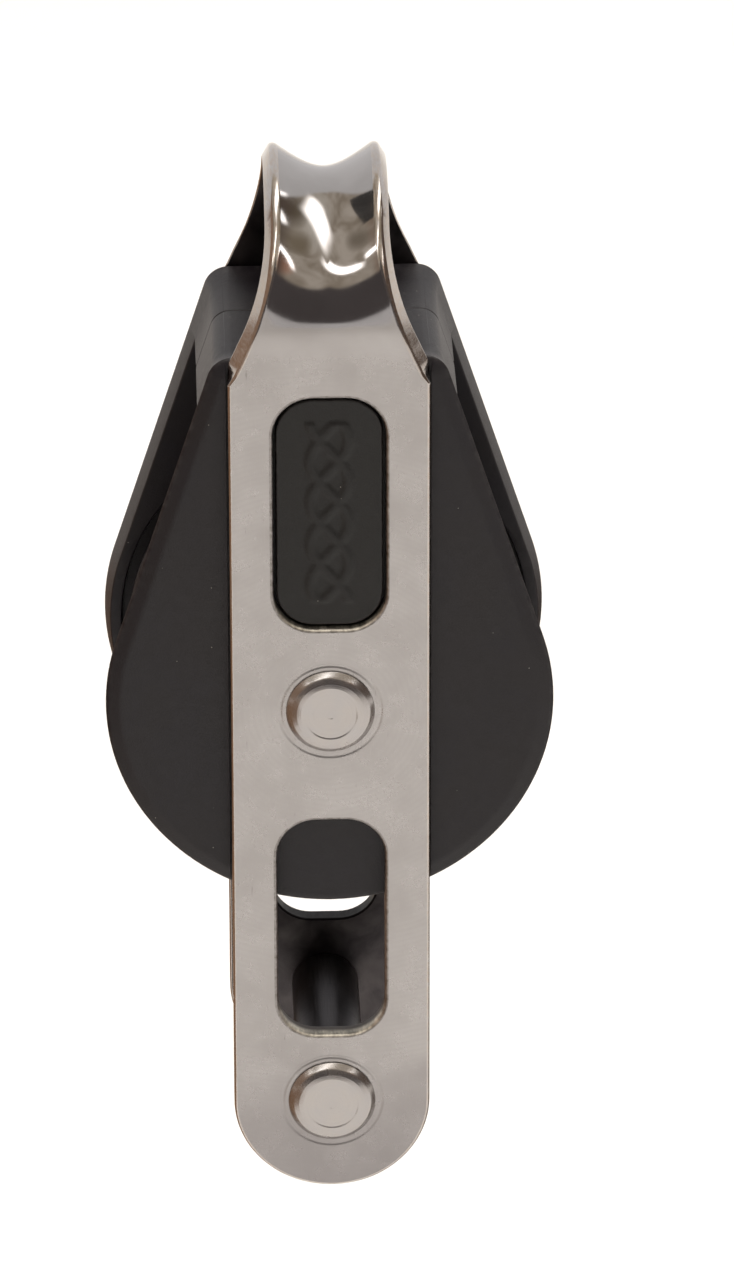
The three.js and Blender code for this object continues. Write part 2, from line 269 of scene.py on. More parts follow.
def mark(obj, name, measure):
    """Stores a number at each point of a mesh, for its material. measure takes millimetres."""
    layer = obj.data.attributes.new(name, "FLOAT", "POINT")
    layer.data.foreach_set("value", [measure(*(v.co / MM)) for v in obj.data.vertices])


def arc(x, z, radius, start, end, steps):
    """Points of a circular arc between two angles in degrees."""
    angles = [(start + (end - start) * k / steps) * DEG for k in range(steps + 1)]
    return [(x + radius * math.cos(a), z + radius * math.sin(a)) for a in angles]


def circle(radius, x=0.0, z=0.0, facets=48):
    return arc(x, z, radius, 0, 360, facets)[:-1]


def at_y(loop, y):
    """Points of an (x, z) loop at one depth."""
    return [(x, y, z) for x, z in loop]


def rounded(corners, steps=4):
    """A closed outline from (a, b, radius) corners, each rounded to its radius."""
    out = []
    for i, (x, y, radius) in enumerate(corners):
        here = Vector((x, y))
        if radius == 0:
            out.append((x, y))
            continue
        before = Vector(corners[i - 1][:2]) - here
        after = Vector(corners[(i + 1) % len(corners)][:2]) - here
        before.normalize()
        after.normalize()
        half = before.angle(after) / 2
        reach = radius / math.tan(half)
        centre = here + (before + after).normalized() * (radius / math.sin(half))
        start = here + before * reach - centre
        end = here + after * reach - centre
        for k in range(steps + 1):
            spoke = start.slerp(end, k / steps).normalized() * radius
            out.append(tuple(centre + spoke))
    return out


def lathe(name, profile, facets=96, z=0.0):
    """A piece turned about Y from (radius, y) points. A ring's profile closes on itself."""
    closed = profile[0][0] > 0 or profile[-1][0] > 0
    rows = profile + [profile[0]] if closed else profile
    shell = Shell()
    turns = [2 * math.pi * k / facets for k in range(facets)]
    rings = [[(r * math.cos(a), y, r * math.sin(a) + z) for a in turns] for r, y in rows]
    shell.rings(rings)
    return shell.build(name)


def inside(loop, x, z):
    """True if a point is inside a closed loop."""
    odd = False
    for (x0, z0), (x1, z1) in zip(loop, loop[1:] + loop[:1]):
        if (z0 > z) != (z1 > z) and x < x0 + (z - z0) * (x1 - x0) / (z1 - z0):
            odd = not odd
    return odd


def filled(outline, holes=(), guides=(), points=()):
    """Triangles over a convex flat region with holes, with edges along the guides and through the points."""
    coords, edges = [], []
    for path, closed in [(outline, True)] + [(hole, True) for hole in holes] + list(guides):
        base = len(coords)
        coords.extend(Vector(p) for p in path)
        edges.extend((base + i, base + i + 1) for i in range(len(path) - 1))
        if closed:
            edges.append((base + len(path) - 1, base))
    coords.extend(Vector(p) for p in points)
    made, _, faces, *_ = delaunay_2d_cdt(coords, edges, [], 1, 1e-6)
    spans = []
    for hole in holes:
        across, up = zip(*hole)
        spans.append((min(across), max(across), min(up), max(up), hole))
    kept = []
    for face in faces:
        x = sum(made[i].x for i in face) / 3
        z = sum(made[i].y for i in face) / 3
        if not any(a < x < b and c < z < d and inside(hole, x, z) for a, b, c, d, hole in spans):
            kept.append(tuple(face))
    return [(p.x, p.y) for p in made], kept


def clamp(t):
    return min(1.0, max(0.0, t))


def smoothstep(x, low, high):
    t = clamp((x - low) / (high - low))
    return t * t * (3 - 2 * t)


def lip(distance, radius):
    """How far a rounded edge falls below its face at a distance from the edge."""
    share = clamp((distance - SLIVER) / radius)
    return radius * (1 - math.sqrt(1 - (1 - share) ** 2))


# ---- head strap

# The strap's surfaces, in the order of its materials.
FACE, EDGE, INSIDE, RIM = range(4)


def window(spec, grow=0.0, steps=12):
    """Outline of a window in the strap, grown outwards."""
    half, low, high = spec
    x, top, bottom = half - WINDOW_ROUND, high - WINDOW_ROUND, low + WINDOW_ROUND
    out = []
    for cx, cz, start in ((x, top, 0), (-x, top, 90), (-x, bottom, 180), (x, bottom, 270)):
        out += arc(cx, cz, WINDOW_ROUND + grow, start, start + 90, steps)
    return out


def neck(angle):
    """Half widths of the strap's outer and inner faces at an angle round the bend."""
    along = clamp((angle - FLARE_START) / FLARE_SPAN)
    below = clamp((FLARE_START - angle) / FLARE_RUN)
    flare = STRAP_HALF - FLARE_STEP - NECK_HALF
    outer = NECK_HALF + flare * (1 - along) ** FLARE_POWER + FLARE_STEP * below
    return outer, min(STRAP_HALF, outer + EDGE_BEVEL)


def strap_point(side, angle, depth, inset=0.0):
    """A point of the bent head: side is -1 to 1 across it, depth is inwards, and inset is from its edges."""
    outer_half, inner_half = neck(angle)
    curl = smoothstep(angle, CURL_START, CURL_END)
    scale = curl * (HORN_RADIUS - VALLEY_RADIUS) / (math.hypot(SADDLE_ROUND, NECK_HALF) - SADDLE_ROUND)
    floor = STRAP_OUTER - curl * (STRAP_OUTER - VALLEY_RADIUS)
    share = depth / STRAP_THICK
    half_here = outer_half + (inner_half - outer_half) * share
    x = side * outer_half * (1 - inset / half_here)
    tilt = math.atan(scale * x / math.hypot(SADDLE_ROUND, x))
    edge_tilt = math.atan(scale * outer_half / math.hypot(SADDLE_ROUND, outer_half))
    spread = inner_half / (outer_half + STRAP_THICK * math.sin(edge_tilt))
    radius = floor + scale * (math.hypot(SADDLE_ROUND, x) - SADDLE_ROUND)
    inner_x = (x + STRAP_THICK * math.sin(tilt)) * spread
    px = x + (inner_x - x) * share
    pr = radius - STRAP_THICK * math.cos(tilt) * share
    if angle <= 0:
        return (px, -pr, BEND_Z + STRAP_OUTER * angle * DEG)
    return (px, -pr * math.cos(angle * DEG), BEND_Z + pr * math.sin(angle * DEG))


def outer_edge(angle):
    """Radius of the rounding on the outer face's edge: larger round the neck, where it was polished."""
    return OUTER_EDGE + (NECK_EDGE - OUTER_EDGE) * smoothstep(angle, 14, 42)


def edge_rings(radius):
    """(inset, depth) pairs round the strap's edge, from its outer face to its inner."""
    quarter = [k * math.pi / 12 for k in range(7)]
    outer = [(radius * (1 - math.sin(a)), radius * (1 - math.cos(a))) for a in quarter]
    inner = [(INNER_EDGE * (1 - math.sin(a)), STRAP_THICK - INNER_EDGE * (1 - math.cos(a))) for a in quarter]
    return outer + inner[::-1]


def press_mark(x, z):
    """Depth of the ring that the riveting tool left in the strap round each head."""
    off = min(abs(math.hypot(x, z - centre) - PRESS_RING) for centre in (0.0, BECKET_Z))
    return PRESS_DEPTH * (1 - smoothstep(off, 0.0, PRESS_WIDTH))


def foot(half, facets=64):
    return arc(0, BECKET_Z, half, 180, 360, facets)


# The leg's holes: the outline of each as a function of how far it is grown, and its edge's radius.
HOLES = (
    (lambda grow: window(UPPER_WINDOW, grow), WINDOW_EDGE),
    (lambda grow: window(LOWER_WINDOW, grow), WINDOW_EDGE),
    (lambda grow: circle(RIVET_HOLE + grow), OUTER_EDGE),
    (lambda grow: circle(RIVET_HOLE + grow, z=BECKET_Z), OUTER_EDGE),
)
# Places across the bar from -1 to 1, closer together towards its edges.
CROWDING = 67.5 * DEG
COLUMNS = [math.sin(CROWDING * (k / 24 - 1)) / math.sin(CROWDING) for k in range(49)]


def bend_angles():
    """Angles of the rows of points up the head. Those below 0 are on the straight leg."""
    start = (JOIN_Z - BEND_Z) / STRAP_OUTER / DEG
    angles = [start, FLARE_START - FLARE_RUN - 0.5]
    angles += [FLARE_START - FLARE_RUN * (1 - k / 6) for k in range(6)]
    angles += [FLARE_START * (1 - k / 8) for k in range(8)]
    return angles + [90 * k / 60 for k in range(61)]


def add_head(shell, angles):
    """The outer and inner faces of the bent head."""
    rows = [[strap_point(side, angle, 0.0, outer_edge(angle)) for side in COLUMNS] for angle in angles]
    shell.rings(rows, closed=False, finish=FACE)
    rows = [[strap_point(side, angle, STRAP_THICK, INNER_EDGE) for side in COLUMNS] for angle in angles]
    shell.rings(rows, closed=False, finish=INSIDE)


def leg_plate(inset, holes, guides=()):
    """One flat face of the leg, drawn in from the leg's outline."""
    half = STRAP_HALF - inset
    outline = foot(half) + [(half * side, JOIN_Z) for side in reversed(COLUMNS)]
    return filled(outline, holes, guides)


def add_leg(shell):
    """The outer and inner faces of the leg, and the rims of its holes."""
    rims = [PRESS_WIDTH * k / 4 for k in range(-4, 5)]
    marks = [(circle(PRESS_RING + rim, z=z, facets=72), True) for z in (0.0, BECKET_Z) for rim in rims]
    flat, faces = leg_plate(OUTER_EDGE, [hole(edge) for hole, edge in HOLES], marks)
    shell.add([(x, press_mark(x, z) - STRAP_OUTER, z) for x, z in flat], faces, FACE)
    flat, faces = leg_plate(INNER_EDGE, [hole(INNER_EDGE) for hole, edge in HOLES])
    shell.add(at_y(flat, -STRAP_INNER), faces, INSIDE)
    for hole, edge in HOLES:
        rings = [at_y(hole(inset), depth - STRAP_OUTER) for inset, depth in edge_rings(edge)]
        shell.rings(rings, finish=RIM)


def add_edge(shell, angles):
    """The bar's cut edge, down one side of the head, round the foot and up the other."""
    rounds = [edge_rings(outer_edge(angle)) for angle in angles]
    rings = []
    for k, (inset, depth) in enumerate(rounds[0]):
        left = [strap_point(-1, angle, ring[k][1], ring[k][0]) for angle, ring in zip(angles, rounds)]
        right = [strap_point(1, angle, ring[k][1], ring[k][0]) for angle, ring in zip(angles, rounds)]
        bottom = at_y(foot(STRAP_HALF - inset), depth - STRAP_OUTER)
        rings.append(left[::-1] + bottom + right)
    shell.rings(rings, closed=False, finish=EDGE)


def make_strap():
    """The front half of the bar, as far as the top of its bend, and the same again behind."""
    angles = bend_angles()
    shell = Shell()
    add_head(shell, angles)
    add_leg(shell)
    add_edge(shell, angles)
    shell.mirror()
    return shell.build("strap_bar", sharp=40)


# ---- cheeks


def flank_x(z, inset):
    return (CHEEK_RADIUS - inset - z * math.sin(CHEEK_TAPER)) / math.cos(CHEEK_TAPER)


CORNER_Z = CHEEK_TOP - CHEEK_CORNER
CORNER_X = (CHEEK_RADIUS - CHEEK_CORNER - CORNER_Z * math.sin(CHEEK_TAPER)) / math.cos(CHEEK_TAPER)
BRIDGE_STEPS = (BRIDGE_LOW - WALL, BRIDGE_LOW, BRIDGE_LOW + 0.12, BRIDGE_LOW + BRIDGE_LIP)


def teardrop(inset=0.0):
    """The cheek's outline, drawn in by an inset."""
    taper = CHEEK_TAPER / DEG
    right = [(flank_x(z, inset), z) for z in BRIDGE_STEPS]
    left = [(-x, z) for x, z in reversed(right)]
    top = arc(CORNER_X, CORNER_Z, CHEEK_CORNER - inset, taper, 90, 14)
    top += arc(-CORNER_X, CORNER_Z, CHEEK_CORNER - inset, 90, 180 - taper, 14)
    return right + top + left + arc(0, 0, CHEEK_RADIUS - inset, 180 - taper, 360 + taper, 128)


def crossed(loop, lines):
    """A loop with extra points where it crosses upright lines."""
    out = []
    for (x0, z0), (x1, z1) in zip(loop, loop[1:] + loop[:1]):
        out.append((x0, z0))
        for x in sorted((x for x in lines if min(x0, x1) < x < max(x0, x1)), reverse=x1 < x0):
            out.append((x, z0 + (z1 - z0) * (x - x0) / (x1 - x0)))
    return out


def edge_distance(x, z):
    """How far inside the cheek's outline a point is."""
    x = abs(x)
    if math.atan2(z, x) < CHEEK_TAPER:
        return CHEEK_RADIUS - math.hypot(x, z)
    flank = CHEEK_RADIUS - x * math.cos(CHEEK_TAPER) - z * math.sin(CHEEK_TAPER)
    dx, dz = x - CORNER_X, z - CORNER_Z
    if dx > 0 and dz > dx * math.tan(CHEEK_TAPER):
        return CHEEK_CORNER - math.hypot(dx, dz)
    return min(flank, CHEEK_TOP - z)


def bevel_depth(distance):
    """How far the bevelled border of the cheek's face falls at a distance from the outline."""
    slope = BEVEL_DEEP / BEVEL_WIDE
    run = BEVEL_WIDE - distance
    if run <= -BEVEL_SOFT:
        depth = 0.0
    elif run < BEVEL_SOFT:
        depth = slope * (run + BEVEL_SOFT) ** 2 / (4 * BEVEL_SOFT)
    else:
        depth = slope * run
    return depth + 0.5 * lip(distance, CHEEK_LIP)


def pad_edge(x, z):
    """How far inside the pad's outline a point is."""
    half, low, high = UPPER_WINDOW
    dx = abs(x) - (half - WINDOW_ROUND)
    dz = max(z - (high - WINDOW_ROUND), low + WINDOW_ROUND - z)
    reach = math.hypot(dx, dz) if dx > 0 and dz > 0 else max(dx, dz)
    return WINDOW_ROUND - reach - PAD_GAP


def rope_relief(x, z):
    """A plain three-strand rope ornament along the pad."""
    half, low, high = UPPER_WINDOW
    along = z - (low + high) / 2
    height = 0.0
    for strand in range(3):
        phase = 2 * math.pi * (along / ROPE_LAY + strand / 3)
        slope = ROPE_SWING * math.cos(phase) * 2 * math.pi / ROPE_LAY
        away = abs(x - ROPE_SWING * math.sin(phase)) / math.hypot(1, slope)
        height = max(height, 1 - smoothstep(away, 0.2 * ROPE_STRAND, ROPE_STRAND))
    end = (high - low) / 2 - ROPE_MARGIN
    return ROPE_HEIGHT * height * (1 - smoothstep(abs(along), end - 0.4, end))


def cheek_face(x, z):
    """Y of the front cheek's outer side: its face, the strap's channel and the pad in the upper window."""
    face = bevel_depth(edge_distance(x, z)) - CHEEK_OUTER
    pad = pad_edge(x, z)
    if pad >= WALL:
        return lip(pad - WALL, PAD_LIP) - PAD_FACE - (rope_relief(x, z) if pad > WALL + PAD_LIP else 0)
    floor = max(face, -CHANNEL_FLOOR)
    if pad > 0:
        return floor + (PAD_LIP - PAD_FACE - floor) * pad / WALL
    return face + (floor - face) * smoothstep(CHANNEL_HALF - abs(x), 0, WALL)


def peg_radius(pegs):
    return PEG_RADIUS if pegs > 0 else PEG_RADIUS + SOCKET_FIT


def cheek_back(x, z, pegs, parting):
    """Y of a cheek's inner side, seen as the front one. pegs rise from it, or sink into it if negative."""
    radius = math.hypot(x, z)
    if radius < POCKET_RADIUS + 0.5:
        boss = 1 - smoothstep(radius, BOSS_RADIUS, BOSS_RADIUS + WALL)
        pocket = smoothstep(POCKET_RADIUS + WALL - radius, 0, WALL)
        floor = -POCKET_FLOOR + boss * (POCKET_FLOOR - BOSS_FACE)
        rim = -CHEEK_INNER - lip(max(0.0, radius - POCKET_RADIUS - WALL), POCKET_LIP)
        return rim + (floor - rim) * pocket
    raised = smoothstep(z, BRIDGE_LOW - WALL, BRIDGE_LOW)
    bridge = parting - PARTING - lip(max(0.0, z - BRIDGE_LOW), BRIDGE_LIP)
    level = -CHEEK_INNER + (bridge + CHEEK_INNER) * raised
    within = peg_radius(pegs) - math.hypot(abs(x) - PEG_X, z - PEG_Z)
    if within > 0:
        rounding = lip(within, PEG_LIP) if pegs > 0 else 0
        level += (pegs - rounding) * smoothstep(within, 0, WALL)
    return level - lip(edge_distance(x, z) - RIM_DRAFT, PARTING_LIP)


def outer_guides(sides):
    """Lines along which the outer side bends: its bevel, the channel's walls and the pad's edge."""
    border = [BEVEL_WIDE + BEVEL_SOFT * k / 3 for k in range(-3, 4)] + [0.06, 0.15, CHEEK_LIP, 0.45, 0.8]
    guides = [(teardrop(inset), True) for inset in border]
    guides += [([(x, -CHEEK_RADIUS), (x, CHEEK_TOP)], False) for x in sides]
    for inset in (0, WALL, WALL + 0.03, WALL + 0.1, WALL + PAD_LIP):
        guides.append((window(UPPER_WINDOW, -PAD_GAP - inset), True))
    return guides


def relief_grid():
    """Points over the pad, close enough together for its rope ornament."""
    half, low, high = UPPER_WINDOW
    columns = range(-int(half / RELIEF_STEP), int(half / RELIEF_STEP) + 1)
    rows = range(int((high - low) / RELIEF_STEP) + 1)
    grid = [(RELIEF_STEP * i, low + RELIEF_STEP * j) for i in columns for j in rows]
    return [p for p in grid if pad_edge(*p) > WALL + PAD_LIP + 0.1]


def inner_guides(peg):
    """Lines along which the inner side bends: its rim, the boss, the pocket, the bridge and the pegs."""
    guides = [(teardrop(RIM_DRAFT + PARTING_LIP * k / 3), True) for k in range(1, 4)]
    radii = [BOSS_RADIUS, BOSS_RADIUS + WALL] + [POCKET_RADIUS + step for step in (0, WALL, 0.15, 0.3)]
    guides += [(circle(radius, facets=128), True) for radius in radii]
    guides += [([(-CHEEK_RADIUS, z), (CHEEK_RADIUS, z)], False) for z in BRIDGE_STEPS]
    for inset in (0, WALL, 0.1, PEG_LIP):
        guides += [(circle(peg - inset, side * PEG_X, PEG_Z, 32), True) for side in (-1, 1)]
    return guides


def make_cheek(name, rear):
    """One half, made as the front one. The rear half has sockets for pegs and is turned about."""
    pegs = -PEG_LENGTH - SOCKET_EXTRA if rear else PEG_LENGTH
    parting = -PARTING_Y if rear else PARTING_Y

    def outer(points):
        return [(x, cheek_face(x, z), z) for x, z in points]

    def inner(points):
        return [(x, cheek_back(x, z, pegs, parting), z) for x, z in points]

    sides = [side * (CHANNEL_HALF - WALL * step) for step in (0, 0.5, 1) for side in (-1, 1)]
    top = crossed(teardrop(), sides)
    middle = crossed(teardrop(RIM_DRAFT), sides)
    bore = circle(TUBE_RADIUS + TUBE_FIT)
    shell = Shell()
    flat, faces = filled(top, [bore], outer_guides(sides), relief_grid())
    shell.add(outer(flat), faces)
    flat, faces = filled(middle, [bore], inner_guides(peg_radius(pegs)))
    shell.add(inner(flat), faces)
    shell.rings([outer(top), at_y(middle, -CHEEK_INNER - RIM_LIP), inner(middle)])
    shell.rings([outer(bore), inner(bore)])
    if rear:
        shell.turn()
    return shell.build(name)


# ---- rivets, tubes, bearing and sheave


def mirrored(half):
    """A profile with its reflection in the middle plane in front of it. Points on the plane come once."""
    return [(r, -y) for r, y in reversed(half) if y != 0] + half


def make_rivet(name, z):
    corners = [
        (0, -1, 0),
        (RIVET_RADIUS, -1, 0),
        (RIVET_RADIUS, RIVET_SEAT, 0.1),
        (RIVET_HEAD, RIVET_SEAT, 0.05),
        (RIVET_HEAD, RIVET_SEAT + RIVET_RIM, 0.12),
    ]
    corners += [(RIVET_HEAD - step, RIVET_CROWN - drop, 0.9) for step, drop in RIVET_SHOULDERS]
    corners += [
        (RIVET_FLAT, RIVET_CROWN, 0.4),
        (RIVET_DISC, RIVET_CROWN, 0.15),
        (RIVET_DISC - 0.16, RIVET_CROWN - RIVET_SINK, 0.15),
        (RIVET_DIMPLE, RIVET_CROWN - RIVET_SINK, 0.12),
        (RIVET_DIMPLE - 0.1, RIVET_CROWN - RIVET_SINK - 0.025, 0.12),
        (0, RIVET_CROWN - RIVET_SINK - 0.015, 0),
    ]
    half = [p for p in rounded(corners) if p[1] > 0]
    return lathe(name, mirrored(half), 96, z)


def make_tube(name, z):
    bore = RIVET_HOLE
    corners = [(bore, 0, 0), (bore, TUBE_END, 0.15), (TUBE_RADIUS, TUBE_END, 0.15), (TUBE_RADIUS, 0, 0)]
    half = [p for p in rounded(corners) if p[1] > 0]
    return lathe(name, mirrored(half), 72, z)


def groove(radius, side, low, high, steps=12):
    """Points of a ball groove's arc about the balls' circle."""
    a, b = math.asin((low - ROW_Y) / radius), math.asin((high - ROW_Y) / radius)
    spread = [a + (b - a) * k / steps for k in range(steps + 1)]
    return [(PITCH_RADIUS + side * radius * math.cos(t), ROW_Y + radius * math.sin(t)) for t in spread]


def make_race(name, side):
    low = ROW_Y - math.sqrt(RACE_GROOVE ** 2 - (PITCH_RADIUS - RACE_INNER_LIP) ** 2)
    high = ROW_Y + math.sqrt(RACE_GROOVE ** 2 - (PITCH_RADIUS - RACE_OUTER_LIP) ** 2)
    profile = [(RACE_BORE, RACE_LOW.y), (RACE_INNER_LIP, RACE_LOW.y)]
    profile += groove(RACE_GROOVE, -1, low, high)
    end = [(RACE_OUTER_LIP, RACE_END, 0.15), (RACE_BORE, RACE_END, 0.15)]
    profile += rounded([(RACE_OUTER_LIP, high, 0)] + end + [(RACE_BORE, high, 0)])[1:-1]
    return lathe(name, [(r, side * y) for r, y in profile], 96)


def make_sheave():
    reach = math.sqrt(SHEAVE_GROOVE ** 2 - (SHEAVE_BORE - PITCH_RADIUS) ** 2)
    depth = SHEAVE_RADIUS - GROOVE_BOTTOM
    rope = (GROOVE_HALF ** 2 + depth ** 2) / (2 * depth)
    web = SHEAVE_HALF - WEB_DEEP
    side = rounded([
        (SHEAVE_BORE, ROW_Y + reach, 0),
        (SHEAVE_BORE, BORE_MOUTH[1], 0.1),
        (SHEAVE_BORE + BORE_MOUTH[0], SHEAVE_HALF, 0.2),
        (WEB_LOW, SHEAVE_HALF, 0.25),
        (WEB_LOW + WEB_SLOPE, web, 0.3),
        (WEB_HIGH - WEB_SLOPE, web, 0.3),
        (WEB_HIGH, SHEAVE_HALF, 0.25),
        (SHEAVE_RADIUS - RIM_CHAMFER[0], SHEAVE_HALF, 0.3),
        (SHEAVE_RADIUS, SHEAVE_HALF - RIM_CHAMFER[1], 0.3),
        (SHEAVE_RADIUS, GROOVE_HALF, 0.35),
        (SHEAVE_RADIUS - GROOVE_LIP[0], GROOVE_HALF - GROOVE_LIP[1], 0),
    ])
    start = math.asin((GROOVE_HALF - GROOVE_LIP[1]) / rope)
    half = [(SHEAVE_BORE, 0)] + groove(SHEAVE_GROOVE, 1, ROW_Y - reach, ROW_Y + reach) + side[1:-1]
    for k in range(13):
        a = start * (1 - k / 12)
        half.append((GROOVE_BOTTOM + rope * (1 - math.cos(a)), rope * math.sin(a)))
    return lathe("sheave_moulding", mirrored(half), 144)


def make_ball(name, node):
    low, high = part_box(node)
    mesh = bpy.data.meshes.new(name)
    bm = bmesh.new()
    place = Matrix.Translation((low + high) / 2)
    bmesh.ops.create_uvsphere(bm, u_segments=28, v_segments=18, radius=BALL_RADIUS * MM, matrix=place)
    bm.to_mesh(mesh)
    bm.free()
    ball = new_object(name, mesh)
    smooth(ball, 35, weighted=False)
    return ball


# ---- pieces


def carried(obj, body, slot, *nodes):
    """Puts a piece in place of CAD nodes: it rides on their body. The slot argument is not used."""
    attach(obj, body)
    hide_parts(*nodes)
    return obj


strap = carried(make_strap(), "frame", "strap_steel", "head_strap")
cheeks = [
    carried(make_cheek("cheek_" + end, end == "rear"), "frame", "cheek_plastic", end + "_cheek")
    for end in ("front", "rear")
]
pins = (("axle", 0), ("becket", BECKET_Z))
rivets = [carried(make_rivet("rivet_" + pin, z), "frame", "rivet_steel", pin + "_rivet") for pin, z in pins]
tubes = [carried(make_tube("tube_" + pin, z), "frame", "tube_steel", pin + "_tube") for pin, z in pins]
races = [
    carried(make_race("race_" + end, side), "frame", "race_plastic", end + "_inner_race")
    for end, side in (("front", -1), ("rear", 1))
]
sheave = carried(make_sheave(), "sheave_wheel", "sheave_plastic", "sheave")
balls = [
    carried(make_ball("bearing_" + name, name), name.split("_")[0] + "_ball_row", "ball_plastic", name)
    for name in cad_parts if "_ball_" in name
]

# ---- materials


class Nodes:
    """A node tree, with a short way to add shader nodes. Settings are a node's own properties."""

    def __init__(self, tree):
        self.tree = tree

    def node(self, kind, inputs=None, **settings):
        made = self.tree.nodes.new("ShaderNode" + kind)
        for key, value in settings.items():
            setattr(made, key, value)
        for key, value in (inputs or {}).items():
            self.feed(made.inputs[key], value)
        return made

    def feed(self, socket, value):
        """Links an output to a socket, or sets the socket to a constant. A colour is three numbers."""
        if isinstance(value, bpy.types.NodeSocket):
            self.tree.links.new(value, socket)
        elif socket.type == "RGBA":
            socket.default_value = (*value, 1)
        else:
            socket.default_value = value

    def span(self, value, low, high, to_low=0.0, to_high=1.0, shape="LINEAR"):
        """Maps a value from one range to another, without going past either end."""
        inputs = {"Value": value, "From Min": low, "From Max": high, "To Min": to_low, "To Max": to_high}
        return self.node("MapRange", inputs, interpolation_type=shape).outputs[0]

    def math(self, operation, a, b=0.0, c=0.0):
        return self.node("Math", {0: a, 1: b, 2: c}, operation=operation).outputs[0]

    def plus(self, total, *others):
        for other in others:
            total = self.math("ADD", total, other)
        return total

    def times(self, product, *others):
        for other in others:
            product = self.math("MULTIPLY", product, other)
        return product

    def vector(self, operation, a, b=(0, 0, 0), output="Vector"):
        return self.node("VectorMath", {0: a, 1: b}, operation=operation).outputs[output]

    def mix(self, share, a, b):
        """Blends two colours."""
        return self.node("Mix", {"Factor": share, 6: a, 7: b}, data_type="RGBA").outputs[2]

    def part(self, vector, axis):
        """One number of a vector."""
        return self.node("SeparateXYZ", {0: vector}).outputs[axis]


class Paint(Nodes):
    """One material. Patterns are sized in millimetres, and constants sit on the shader's own sockets."""

    def __init__(self, name, **constants):
        self.material = bpy.data.materials.new(name)
        self.material.use_nodes = True
        super().__init__(self.material.node_tree)
        self.surface = self.tree.nodes["Principled BSDF"]
        self.finish(**constants)
        place = self.node("TexCoord").outputs["Object"]
        self.place = self.vector("MULTIPLY", place, (1 / MM, 1 / MM, 1 / MM))

    def noise(self, scale, detail=3.0, vector=None, roughness=0.55, distortion=0.0):
        inputs = {"Vector": vector or self.place, "Scale": scale, "Detail": detail,
                  "Roughness": roughness, "Distortion": distortion}
        return self.node("TexNoise", inputs).outputs[0]

    def lines(self, x, y, z, turn=0.0, detail=3.0, roughness=0.6):
        """Noise turned about Y by some degrees and then scaled along each axis."""
        turned = self.node("Mapping", {"Vector": self.place, "Rotation": (0, turn * DEG, 0)}).outputs[0]
        scaled = self.node("Mapping", {"Vector": turned, "Scale": (x, y, z)}).outputs[0]
        return self.noise(1.0, detail, scaled, roughness)

    def attribute(self, name):
        return self.node("Attribute", attribute_name=name).outputs["Fac"]

    def bump(self, height, depth, below=None):
        """Adds relief of a depth in millimetres over an earlier relief."""
        inputs = {"Height": height, "Distance": depth * MM, "Strength": 1.0}
        if below is not None:
            inputs["Normal"] = below
        return self.node("Bump", inputs).outputs[0]

    def finish(self, **values):
        """Feeds the shader's sockets, and gives back the material."""
        for name, value in values.items():
            title = name.replace("_", " ").title().replace("Ior", "IOR")
            self.feed(self.surface.inputs[title], value)
        return self.material


STEEL = (0.405, 0.388, 0.382)
STEEL_LIGHT = (0.50, 0.48, 0.47)
STEEL_DARK = (0.360, 0.343, 0.336)
STEEL_WARM = (0.47, 0.41, 0.36)
# Dull steel for nicks and pits, also used as painted shade deep inside the windows.
STEEL_DULL_AND_SHADE = (0.15, 0.137, 0.130)
# Painted shade for the lower legs and foot of the bar.
STEEL_FOOT_SHADE = (0.235, 0.220, 0.222)
STEEL_SHADE = (0.012, 0.011, 0.012)
# Painted light and shade for the window rims: a bright streaked tone where they face up and a dark one where
# they face down.
RIM_PAINTED_GLINT, RIM_PAINTED_LIT, RIM_PAINTED_SHADE = (0.86, 0.82, 0.72), (0.42, 0.39, 0.34), (0.17, 0.155, 0.145)
# Painted shade: tones for the inner faces of the bar, far darker than the outer steel.
INSIDE_SHADE_LIGHT, INSIDE_SHADE_DARK = (0.085, 0.077, 0.078), (0.042, 0.038, 0.040)
RIVET_LIGHT = (0.430, 0.402, 0.382)
TUBE_LIGHT, TUBE_DARK = (0.070, 0.066, 0.070), (0.034, 0.032, 0.036)


